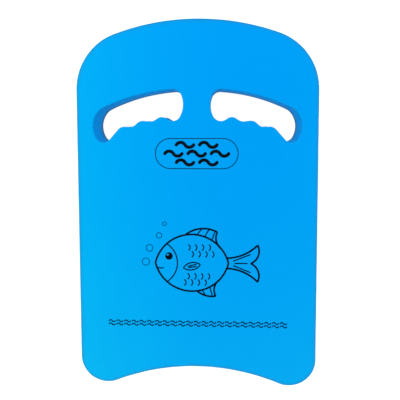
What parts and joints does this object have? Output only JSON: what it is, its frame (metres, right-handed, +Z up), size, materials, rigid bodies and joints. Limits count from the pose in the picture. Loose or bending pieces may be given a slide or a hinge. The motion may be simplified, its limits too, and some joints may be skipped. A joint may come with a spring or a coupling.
{
  "type": "kickboard float",
  "caption": "Flat foam swimming kickboard with a rounded nose, concave tail, scalloped hand holes and a printed face.",
  "frame": {"origin": "centre of the board's outline on the underside, which rests on z = 0", "axes": "+Z up out of the printed face; +Y towards the rounded nose; +X across the width to the right of the printed face"},
  "size_m": [0.28, 0.431, 0.0322],
  "materials": {
    "front_foam": "matte closed-cell foam",
    "back_foam": "matte closed-cell foam",
    "bond": "matte adhesive layer",
    "badge_frame_ink": "matte screen ink",
    "badge_wave_ink": "matte screen ink",
    "fish_outline_ink": "matte screen ink",
    "fish_detail_ink": "matte screen ink",
    "fish_scale_ink": "matte screen ink",
    "fish_eye_ink": "matte screen ink",
    "bubble_ink": "matte screen ink",
    "wavelet_line_ink": "matte screen ink"
  },
  "bodies": {
    "root": {"back_foam_sheet": "back_foam", "bond_film": "bond", "front_foam_sheet": "front_foam", "badge_frame_print": "badge_frame_ink", "badge_wave_print": "badge_wave_ink", "fish_outline_print": "fish_outline_ink", "fish_detail_print": "fish_detail_ink", "fish_scale_print": "fish_scale_ink", "fish_eye_print": "fish_eye_ink", "bubble_print": "bubble_ink", "wavelet_line_print": "wavelet_line_ink"}
  },
  "joints": []
}
